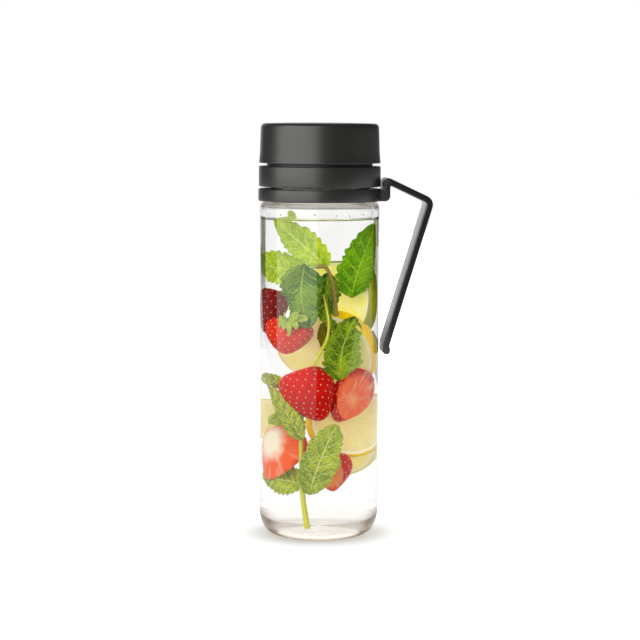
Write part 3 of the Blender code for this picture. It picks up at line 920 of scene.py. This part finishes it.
def segments(name, middle, normal, radius, colour, glow):
    """Nine segments about the slice's middle, with juice sacs drawn out from it."""
    # The flesh also glows in its own colours, by glow: painted light.
    flesh, shader = principled(
        name, colour, 0.3, Specular_IOR_Level=0.04, Subsurface_Weight=1.0, Subsurface_Scale=0.012,
        Subsurface_Radius=(1.0, 0.9, 0.4), Emission_Strength=glow,
    )
    about, reach = own_frame(flesh, middle, normal, (radius, radius, radius))
    angle = add(flesh, "ShaderNodeTexGradient", gradient_type="RADIAL")
    wall = add(flesh, "ShaderNodeMapRange", from_max=0.035, to_min=0.45)
    drawn_out = add(flesh, "ShaderNodeMix", data_type="VECTOR", factor=0.35)
    sacs = add(flesh, "ShaderNodeTexVoronoi", scale=9.0)
    wire(
        flesh,
        (about, angle.inputs["Vector"]),
        (direction(flesh, about), drawn_out.inputs[4]),
        (about, drawn_out.inputs[5]),
        (drawn_out.outputs[1], sacs.inputs["Vector"]),
    )
    fold = calculated(flesh, "PINGPONG", times(flesh, angle.outputs["Fac"], SEGMENTS), 0.5)
    wire(flesh, (times(flesh, fold, reach), wall.inputs["Value"]))
    juice = blended(flesh, sacs.outputs["Distance"], colour, JUICE_SAC)
    walled = blended(flesh, wall.outputs["Result"], SEGMENT_SKIN, juice)
    wire(flesh, (walled, shader.inputs["Base Color"]), (walled, shader.inputs["Emission Color"]))
    bumped(flesh, shader, sacs.outputs["Distance"], 0.3, 0.0005)
    return flesh


def peel(name, colour, deep):
    """Rind with its small oil pits."""
    # The rind also glows a little in its own colour: painted light.
    skin, shader = principled(
        name, colour, 0.35, Specular_IOR_Level=0.06, Subsurface_Weight=0.3,
        Subsurface_Scale=0.002, Emission_Strength=0.1, Emission_Color=(*colour, 1.0),
    )
    pits = add(skin, "ShaderNodeTexVoronoi", scale=700.0)
    wire(
        skin,
        (object_place(skin), pits.inputs["Vector"]),
        (blended(skin, pits.outputs["Distance"], deep, colour), shader.inputs["Base Color"]),
    )
    bumped(skin, shader, pits.outputs["Distance"], 0.25, 0.0004)
    return skin


yellow_rind = peel("lemon_peel", (0.96, 0.67, 0.0), (0.9, 0.56, 0.0))
# The green peel is the yellow rind painted darker and greener: painted shade, for the rind of the
# upper slice.
shaded_rind = peel("shaded_lemon_peel", (0.42, 0.42, 0.0), (0.3, 0.32, 0.0))
pale_rind = peel("pale_lemon_peel", (0.8, 0.82, 0.25), (0.7, 0.72, 0.15))
# The pith glows a little in its own white: painted light.
pith, pith_shader = principled(
    "lemon_pith", PITH_WHITE, 0.5, Specular_IOR_Level=0.05, Emission_Strength=0.14,
    Emission_Color=(*PITH_WHITE, 1.0),
)
bumped(pith, pith_shader, object_noise(pith, 400.0), 0.2, 0.0003)
# Each row: the place's name, middle, facing, radius, thickness, rind and its depth, flesh, glow.
for place, middle, normal, radius, thickness, rind, peel_depth, colour, glow in (
    ("upper", (9.5, 5, 132), (-0.85, -1, 0.05), 22, 8, shaded_rind, 1, (0.99, 0.86, 0.1), 0.26),
    ("below", (6, 2, 105.5), (-0.5, -1, -0.5), 22.5, 7, yellow_rind, 0.6, (0.99, 0.92, 0.4), 0.14),
    (
        "lower_right", (13, 3, 62.3), (0.3, -1, 0.3), 18.8, 5, yellow_rind, 1.1,
        (0.92, 0.68, 0.34), 0.13,
    ),
    ("lower_left", (-19, 8, 64), (-0.3, -1, 0.1), 11.5, 4, pale_rind, 0.8, (0.98, 0.92, 0.48), 0.1),
    ("tail", (9, 9, 46), (0.1, -1, 0.1), 13.5, 4, pale_rind, 0.8, (0.94, 0.9, 0.4), 0.14),
):
    flesh = segments(f"lemon_{place}_flesh", middle, normal, radius, colour, glow)
    lemon("lemon_" + place, middle, normal, radius, thickness, peel_depth, (rind, pith, flesh))

# Carry handle. It is one dark grey moulding of satin plastic: a flat ring that lies loose round the
# neck, and a flat strap that hooks up from it, runs out to an elbow and hangs to a rounded tip.
RING_RADIUS = 34.0
RING_BORE = 29.5
RING_BOTTOM = 186.0
RING_TOP = 192.8
STRAP_THICKNESS = 3.5
STRAP_WIDTH = 20.0
STRAP_PATH = [(36.45, RING_BOTTOM), (36.45, 197.6), (61.0, 186.0), (36.6, 106.7), (36.6, 101.3)]
STRAP_BENDS = [(2.8, 0.7), (5.4, 2.1), (9.6, 6.4)]
STRAP_ROOT = 31.4
HOOK_OUTSIDE = 38.2
HOOK_INSIDE = 34.7
TIP_EASE = 1.575
TIP_SWELL = 0.3
TIP_LENGTH = 3.5
SATIN_GREY = ((0.0125, 0.0128, 0.0112), 0.33, 0.4)


def eased(corners, steps=4):
    """Rounds each (radius, height, ease) corner of an outline by an arc tangent to its sides."""
    outline = []
    for index, (x, y, ease) in enumerate(corners):
        here = Vector((x, y))
        if ease == 0.0:
            outline.append((x, y))
            continue
        before = (Vector(corners[index - 1][:2]) - here).normalized()
        after = (Vector(corners[(index + 1) % len(corners)][:2]) - here).normalized()
        half = before.angle(after) / 2
        centre = here + (before + after).normalized() * (ease / math.sin(half))
        first = here + before * (ease / math.tan(half)) - centre
        last = here + after * (ease / math.tan(half)) - centre
        sweep = first.angle_signed(last)
        for step in range(steps + 1):
            turn = -sweep * step / steps
            cosine, sine = math.cos(turn), math.sin(turn)
            along = Vector((first.x * cosine - first.y * sine, first.x * sine + first.y * cosine))
            outline.append(tuple(centre + along))
    return outline


def plain_ring(name, inner, outer, bottom, top, inner_ease, outer_ease, steps=TURN_STEPS):
    """A flat ring with eased edges."""
    corners = [
        (inner, bottom, inner_ease),
        (outer, bottom, outer_ease),
        (outer, top, outer_ease),
        (inner, top, inner_ease),
    ]
    return turned(name, eased(corners), steps)


def beside(before, here, after, distance):
    """Where two sides of the strap meet once both are moved sideways by a distance."""
    into, out = (here - before).normalized(), (after - here).normalized()
    normal_in, normal_out = Vector((-into.y, into.x)), Vector((-out.y, out.x))
    mitre = (normal_in + normal_out).normalized()
    return here + mitre * (distance / mitre.dot(normal_in))


def combined(piece, other, name, operation):
    """Joins a second form to a piece, or cuts it out of it, by an exact boolean."""
    bpy.ops.object.select_all(action="DESELECT")
    piece.select_set(True)
    bpy.context.view_layer.objects.active = piece
    applied(piece, name, "BOOLEAN", operation=operation, solver="EXACT", object=other)
    bpy.data.objects.remove(other)
    smoothed(30)


def moulded(name, colour, gloss_low, gloss_high):
    """Satin moulded plastic: a fine spark-eroded grain, slightly uneven in gloss and tone."""
    plastic, shader = principled(name, colour, gloss_high, Specular_IOR_Level=0.9)
    tone = object_noise(plastic, 45.0, detail=3.0)
    darker, lighter = [tuple(value * share for value in colour) for share in (0.93, 1.07)]
    gloss = add(plastic, "ShaderNodeMapRange", to_min=gloss_low, to_max=gloss_high)
    wire(
        plastic,
        (blended(plastic, tone, darker, lighter), shader.inputs["Base Color"]),
        (tone, gloss.inputs["Value"]),
        (gloss.outputs["Result"], shader.inputs["Roughness"]),
    )
    bumped(plastic, shader, object_noise(plastic, 3200.0, detail=1.0), 0.10, 0.0001)
    return plastic, shader


handle_ring = plain_ring(
    "handle_ring", RING_BORE, RING_RADIUS, RING_BOTTOM, RING_TOP, inner_ease=0.4, outer_ease=0.5
)
path = [Vector(point) for point in STRAP_PATH]
half = STRAP_THICKNESS / 2
left, right = [], []
for index, (wide, tight) in enumerate(STRAP_BENDS, start=1):
    before, here, after = path[index - 1 : index + 2]
    turns_right = (here - before).angle_signed(after - here) > 0
    for side, offset in ((left, half), (right, -half)):
        corner = beside(before, here, after, offset)
        side.append((corner.x, corner.y, wide if turns_right == (side is left) else tight))
tip_x, tip_y = STRAP_PATH[-1]
strap_outline = [
    (STRAP_ROOT, RING_BOTTOM + 0.1, 0.0),
    (HOOK_OUTSIDE, RING_BOTTOM + 0.1, 2.8),
    *right,
    (tip_x - half, tip_y, TIP_EASE),
    (tip_x + half + TIP_SWELL, tip_y, TIP_EASE),
    (tip_x + half + TIP_SWELL, tip_y + TIP_LENGTH, 0.0),
    (tip_x + half, tip_y + TIP_LENGTH + TIP_SWELL, 0.0),
    *reversed(left),
    (HOOK_INSIDE, RING_TOP - 0.5, 0.0),
    (STRAP_ROOT, RING_TOP - 0.5, 0.0),
]
strap = drawn("strap_moulding", eased(strap_outline, steps=10), closed=True)
bpy.ops.mesh.select_all(action="SELECT")
bpy.ops.mesh.edge_face_add()
bpy.ops.transform.translate(value=(0.0, -STRAP_WIDTH / 2 * MM, 0.0))
bpy.ops.mesh.extrude_region_move(TRANSFORM_OT_translate={"value": (0.0, STRAP_WIDTH * MM, 0.0)})
bpy.ops.mesh.select_all(action="SELECT")
faced_out()
applied(
    strap, "eased_rim", "BEVEL", width=0.6 * MM, segments=4, limit_method="ANGLE",
    angle_limit=math.radians(60),
)
combined(handle_ring, strap, "strap", "UNION")
handle_ring.name = "handle_moulding"
# The strap's long flats are worn smoother than the ring.
handle_plastic, handle_shader = moulded("dark_grey_handle_plastic", *SATIN_GREY)
handle_x, _, _ = object_axes(handle_plastic)
worn = ramped(handle_plastic, handle_x, 0.036, 0.04)
even_gloss = handle_shader.inputs["Roughness"].links[0].from_socket
worn_gloss = calculated(handle_plastic, "MULTIPLY_ADD", worn, -0.18, even_gloss)
wire(handle_plastic, (worn_gloss, handle_shader.inputs["Roughness"]))
handle_ring.data.materials.append(handle_plastic)
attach(handle_ring, "handle")
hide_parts("carry_handle")

# Collar. It screws on the neck. A black inner moulding carries the thread, a plate and the drinking
# mouth, a dark grey cover ring is snapped over it, and a silicone washer seals it on the glass lip.
SLEEVE_BORE = 29.8
SLEEVE_RADIUS = 31.4
SLEEVE_BOTTOM = 194.6
SLEEVE_TOP = 203.9
PLATE_BOTTOM = 202.6
RECESS_RADIUS = 25.7
RECESS_TOP = 205.6
MOUTH_FOOT = 29.2
MOUTH_RADIUS = 28.1
MOUTH_BORE = 24.2
MOUTH_TOP = 222.3
COVER_BORE = 31.7
COVER_RADIUS = 33.7
COVER_BOTTOM = 194.0
COVER_TOP = 205.2
COVER_RIM = 29.5
WASHER_EASE = 0.35

inner_plastic, _ = moulded("black_inner_plastic", (0.011, 0.011, 0.011), 0.42, 0.55)
core_section = [
    (SLEEVE_BORE, SLEEVE_BOTTOM, 0.3),
    (SLEEVE_RADIUS, SLEEVE_BOTTOM, 0.3),
    (SLEEVE_RADIUS, SLEEVE_TOP, 0.3),
    (MOUTH_FOOT, SLEEVE_TOP, 0.2),
    (MOUTH_FOOT, 207.3, 0.3),
    (MOUTH_RADIUS, 207.5, 0.0),
    (MOUTH_RADIUS, MOUTH_TOP, 1.2),
    (MOUTH_BORE, MOUTH_TOP, 1.2),
    (MOUTH_BORE, RECESS_TOP, 0.0),
    (RECESS_RADIUS, RECESS_TOP, 0.0),
    (RECESS_RADIUS, PLATE_BOTTOM, 0.0),
    (SLEEVE_BORE, PLATE_BOTTOM, 0.2),
]
core = turned("collar_core_body", eased(core_section))
sleeve_thread = threads(
    "sleeve_thread", SLEEVE_BORE, reach=-1.1, low=196.1, sweep=110.0, first=20.0
)
mouth_thread = threads("mouth_thread", MOUTH_RADIUS, reach=1.1, low=211.5, sweep=115.0)
core = joined("collar_core_moulding", [core, *sleeve_thread, *mouth_thread])
core.data.materials.append(inner_plastic)
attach(core, "collar")
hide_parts("collar_core")

grey_plastic, _ = moulded("dark_grey_plastic", *SATIN_GREY)
cover_section = [
    (COVER_BORE, COVER_BOTTOM, 0.2),
    (COVER_RADIUS, COVER_BOTTOM, 0.5),
    (COVER_RADIUS, COVER_TOP, 0.5),
    (COVER_RIM, COVER_TOP, 0.2),
    (COVER_RIM, 204.2, 0.2),
    (COVER_BORE, 204.2, 0.0),
]
cover = turned("collar_cover", eased(cover_section))
cover.data.materials.append(grey_plastic)
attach(cover, "collar")
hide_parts("collar_shell")

silicone, silicone_shader = principled("grey_silicone", (0.11, 0.11, 0.11), 0.55)
bumped(silicone, silicone_shader, object_noise(silicone, 1800.0), 0.12, 0.0001)


def washer(name, node, body, inner, outer, bottom, thickness):
    """A silicone ring, cut square and a little eased."""
    ring = plain_ring(
        name, inner, outer, bottom, bottom + thickness, WASHER_EASE, WASHER_EASE, steps=96
    )
    ring.data.materials.append(silicone)
    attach(ring, body)
    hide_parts(node)


washer(
    "collar_washer", "collar_seal", "collar_carrier",
    inner=26.2, outer=29.2, bottom=200.9, thickness=1.4,
)

# Strainer. A shallow cup, moulded in the collar's black plastic and pushed into it from below. Four
# rows of arc slots in its floor let the water out and hold the fruit back.
STRAINER_FLOOR = 197.4
STRAINER_INSIDE = 198.8
STRAINER_RIM = 25.4
SLOT_WIDTH = 2.4
SLOT_DEPTH = 5.0
SLOT_MIDDLE = 198.1
SLOT_BRIDGE = 2.2
SLOT_ROWS = ((5.0, 3), (9.5, 6), (14.0, 8), (18.5, 12))

strainer_section = [
    (0.0, STRAINER_FLOOR), (23.0, STRAINER_FLOOR), (23.4, 197.8), (25.0, 203.2),
    (STRAINER_RIM, 203.6), (STRAINER_RIM, 205.1), (25.2, 205.3), (23.7, 205.3),
    (22.0, 199.2), (21.6, STRAINER_INSIDE), (0.0, STRAINER_INSIDE),
]
strainer_cup = turned("strainer_cup", strainer_section)
cutters = []
for ring_radius, slots in SLOT_ROWS:
    half_angle = (math.tau / slots - SLOT_BRIDGE / ring_radius) / 2
    for index in range(slots):
        bpy.ops.mesh.primitive_plane_add(size=1.0)
        cutters.append(named("slot_blank"))
        edit_all()
        bpy.ops.transform.resize(value=(SLOT_WIDTH * MM, SLOT_DEPTH * MM, 1.0))
        rotated(math.pi / 2, "X")
        bpy.ops.transform.translate(value=(ring_radius * MM, 0.0, SLOT_MIDDLE * MM))
        rotated(half_angle - math.tau * index / slots)
        swept(max(3, round(half_angle * ring_radius * 1.6)), 2 * half_angle)
        faced_out()
combined(strainer_cup, joined("slot_cutter", cutters), "slots", "DIFFERENCE")
strainer_cup.data.materials.append(inner_plastic)
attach(strainer_cup, "strainer")
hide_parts("strainer")

# Cap. A smooth dark grey cover, slightly flared, with a threaded black cup fixed inside it and a
# silicone washer that the cup's boss centres over the drinking mouth.
CAP_TOP = 229.1
CAP_FOOT = 206.9
CAP_BORE = 31.1
CAP_CEILING = 226.6
CUP_RADIUS = 30.8
CUP_BORE = 29.6
CUP_TOP = 226.3
CUP_CEILING = 224.5
CUP_FOOT = 207.7
BOSS_RADIUS = 23.9
BOSS_BORE = 22.8

cap_section = [(0.0, CAP_TOP), (10.0, 229.06), (20.0, 228.96)]
cap_section += arc((30.2, 226.3), 2.4, 84, 4, 10)
cap_section += [(32.75, 224.0), (33.1, 212.8), (33.4, 209.4), (33.56, 207.5)]
cap_section += arc((33.2, 207.3), 0.4, 0, -90, 4)
cap_section += [(31.5, CAP_FOOT), (CAP_BORE, 207.3), (CAP_BORE, CAP_CEILING), (0.0, CAP_CEILING)]
cap_cover = turned("cap_cover", cap_section)
cap_cover.data.materials.append(grey_plastic)
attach(cap_cover, "cap")
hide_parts("cap_shell")

insert_section = [
    (0.0, CUP_TOP), (30.5, CUP_TOP), (CUP_RADIUS, 226.0), (CUP_RADIUS, CUP_FOOT),
    (30.0, CUP_FOOT), (CUP_BORE, 208.1), (CUP_BORE, CUP_CEILING), (BOSS_RADIUS, CUP_CEILING),
    (BOSS_RADIUS, 223.3), (23.8, 223.2), (22.9, 223.2), (BOSS_BORE, 223.3),
    (BOSS_BORE, CUP_CEILING), (0.0, CUP_CEILING),
]
insert = turned("cap_insert_body", insert_section)
cap_thread = threads("cap_thread", CUP_BORE, reach=-1.1, low=209.5, sweep=115.0)
insert = joined("cap_insert_moulding", [insert, *cap_thread])
insert.data.materials.append(inner_plastic)
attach(insert, "cap")
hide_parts("cap_insert")
washer(
    "cap_washer", "cap_seal", "cap_carrier", inner=24.3, outer=28.4, bottom=222.6, thickness=1.6
)

# Drops. Small beads of water cling to the inside of the glass, just above the water line, where
# the wall is dry. Each is a little taller than it is wide.
DROPS = 26
DROP_HEIGHTS = (178.3, 180.4)
DROP_RADII = (0.2, 0.5)
DROP_FORM = np.array([1.0, 1.0, 1.15])

random.seed(7)
bpy.ops.mesh.primitive_ico_sphere_add(subdivisions=2, radius=1.0)
drops = named("water_drops")
bead = corners_of(drops)
beads = []
for index in range(DROPS):
    turn = math.radians(random.uniform(-180, 180))
    height = random.uniform(*DROP_HEIGHTS)
    size = random.uniform(*DROP_RADII)
    wall = BODY_BORE - 0.1
    spot = np.array([wall * math.cos(turn), wall * math.sin(turn), height])
    beads.append(bead * size * DROP_FORM + spot)
repeated(drops, beads, water_clear)
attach(drops, "bottle")

# Studio. A white table and a white backdrop. A tall bent scrim stands to the left and front and
# gives the soft main light; its edges show in the glass and on the lid. The table's right part ends
# in front of the bottle, so that the glass reflects the dark room there.
VIEW_TURN = math.radians(5.0)
CAMERA_DISTANCE = 1.2
CAMERA_HEIGHT = 0.236
CAMERA_TURN = -5.0214
CAMERA_DIP = 5.537
CAMERA_ROLL = 0.24
TABLE_SIZE = (2.44, 3.55, 1.0)
TABLE_PLACE = (-1.28, 1.225, -0.0002)
TABLE_RIGHT = (2.56, 0.0, 0.0)
TABLE_FRONT = (0.0, -1.0, 0.0)
SCRIM_RADIUS = 1200.0
SCRIM_HEIGHT = 1650.0
SCRIM_START = 99
SCRIM_SWEEP = 85
SCRIM_STRENGTH = 2.25
ROOM_AS_LIGHT = 0.68
ROOM_MIRRORED = 0.08
FRUIT_LIGHT = 1.75

bpy.ops.mesh.primitive_plane_add(size=1.0)
table = named("studio_table")
edit_all()
bpy.ops.transform.resize(value=TABLE_SIZE)
bpy.ops.transform.translate(value=TABLE_PLACE)
bpy.ops.mesh.select_mode(type="EDGE")
# First the right edge is drawn out to the right, then the left part's front edge to the front.
for picked, shift in (
    (lambda end: end.x > -0.1, TABLE_RIGHT),
    (lambda end: end.x < 0.0 and end.y < 0.0, TABLE_FRONT),
):
    bpy.ops.mesh.select_all(action="DESELECT")
    bpy.ops.object.mode_set(mode="OBJECT")
    for edge in table.data.edges:
        edge.select = all(picked(table.data.vertices[index].co) for index in edge.vertices)
    bpy.ops.object.mode_set(mode="EDIT")
    bpy.ops.mesh.extrude_region_move(TRANSFORM_OT_translate={"value": shift})
bpy.ops.mesh.select_all(action="SELECT")
rotated(VIEW_TURN)
bpy.ops.object.mode_set(mode="OBJECT")
table_white, table_shader = principled(
    "white_table", (0.9, 0.9, 0.9), 0.9, Specular_IOR_Level=0.0, Emission_Color=(1.0, 1.0, 1.0, 1.0)
)
bumped(table_white, table_shader, object_noise(table_white, 40.0), 0.02, 0.0002)
rays = add(table_white, "ShaderNodeLightPath").outputs
reach = add(table_white, "ShaderNodeVectorMath", operation="LENGTH")
wire(table_white, (object_place(table_white), reach.inputs[0]))
reach = reach.outputs["Value"]
# To the camera the table glows like the backdrop, but less round the bottle, where its real shadow
# shows; the fall of the glow towards the bottle also paints a soft round shadow there.
glow = times(table_white, ramped(table_white, reach, 0.022, 0.082), 0.95)
# Right under the bottle it glows again: painted light, so that the table seen through the foot is
# pale.
under = times(table_white, ramped(table_white, reach, 0.024, 0.02), 0.6)
glow = calculated(table_white, "MAXIMUM", glow, under)
glow = times(table_white, glow, rays["Is Camera Ray"])
glow = calculated(table_white, "MULTIPLY_ADD", rays["Is Transmission Ray"], 0.8, glow)
wire(table_white, (glow, table_shader.inputs["Emission Strength"]))
# In reflections it is white near the bottle and dark far out to the left.
table_x, _, _ = object_axes(table_white)
mirrored = add(table_white, "ShaderNodeEmission")
far_left = ramped(table_white, table_x, -0.95, -0.8)
far_left = calculated(table_white, "MULTIPLY_ADD", far_left, 0.95, 0.1)
wire(table_white, (far_left, mirrored.inputs["Strength"]))
overlaid(table_white, rays["Is Glossy Ray"], mirrored)
table.data.materials.append(table_white)

scrim = drawn("softbox_scrim", [(SCRIM_RADIUS, 0.0), (SCRIM_RADIUS, SCRIM_HEIGHT)])
swept(steps=28, angle=math.radians(SCRIM_SWEEP), merge=False)
rotated(math.radians(SCRIM_START))
bpy.ops.object.mode_set(mode="OBJECT")
scrim_glow, _ = principled(
    "softbox_glow", (0.0, 0.0, 0.0), 0.5, Emission_Color=(1.0, 1.0, 0.97, 1.0),
    Emission_Strength=SCRIM_STRENGTH,
)
scrim.data.materials.append(scrim_glow)
scrim.visible_camera = False
scrim.visible_transmission = False

# The room is white where it is seen, dimmer as a light, and dark in reflections except behind the
# bottle. Light that reaches the fruit through glass and water is stronger than the white.
world = bpy.data.worlds.new("white_studio")
world.use_nodes = True
background = world.node_tree.nodes["Background"]
background.inputs["Color"].default_value = (1.0, 1.0, 1.0, 1.0)
rays = add(world, "ShaderNodeLightPath").outputs
room_place = add(world, "ShaderNodeTexCoord")
room_axes = add(world, "ShaderNodeSeparateXYZ")
behind = add(
    world, "ShaderNodeMapRange", from_min=0.88, from_max=0.94, to_min=ROOM_MIRRORED, to_max=1.0
)
fruit_light = add(world, "ShaderNodeMapRange", to_min=1.0, to_max=FRUIT_LIGHT)
lit_room = add(world, "ShaderNodeMix")
lit_room.inputs["A"].default_value = ROOM_AS_LIGHT
whole_room = add(world, "ShaderNodeMix")
seen = calculated(world, "MAXIMUM", rays["Is Camera Ray"], rays["Is Transmission Ray"])
wire(
    world,
    (room_place.outputs["Generated"], room_axes.inputs[0]),
    (room_axes.outputs["Y"], behind.inputs["Value"]),
    (rays["Is Glossy Ray"], lit_room.inputs["Factor"]),
    (behind.outputs["Result"], lit_room.inputs["B"]),
    (rays["Diffuse Depth"], fruit_light.inputs["Value"]),
    (seen, whole_room.inputs["Factor"]),
    (lit_room.outputs["Result"], whole_room.inputs["A"]),
    (fruit_light.outputs["Result"], whole_room.inputs["B"]),
    (whole_room.outputs["Result"], background.inputs["Strength"]),
)
scene = bpy.context.scene
scene.world = world

camera = bpy.data.objects.new("camera", bpy.data.cameras.new("camera"))
scene.collection.objects.link(camera)
camera.data.lens = 121.85
camera.data.sensor_width = 36.0
camera.location = (
    -CAMERA_DISTANCE * math.sin(VIEW_TURN),
    -CAMERA_DISTANCE * math.cos(VIEW_TURN),
    CAMERA_HEIGHT,
)
camera.rotation_euler = (
    Matrix.Rotation(math.radians(CAMERA_TURN), 4, "Z")
    @ Matrix.Rotation(math.radians(90 - CAMERA_DIP), 4, "X")
    @ Matrix.Rotation(math.radians(CAMERA_ROLL), 4, "Z")
).to_euler()
scene.camera = camera
scene.view_settings.view_transform = "Standard"
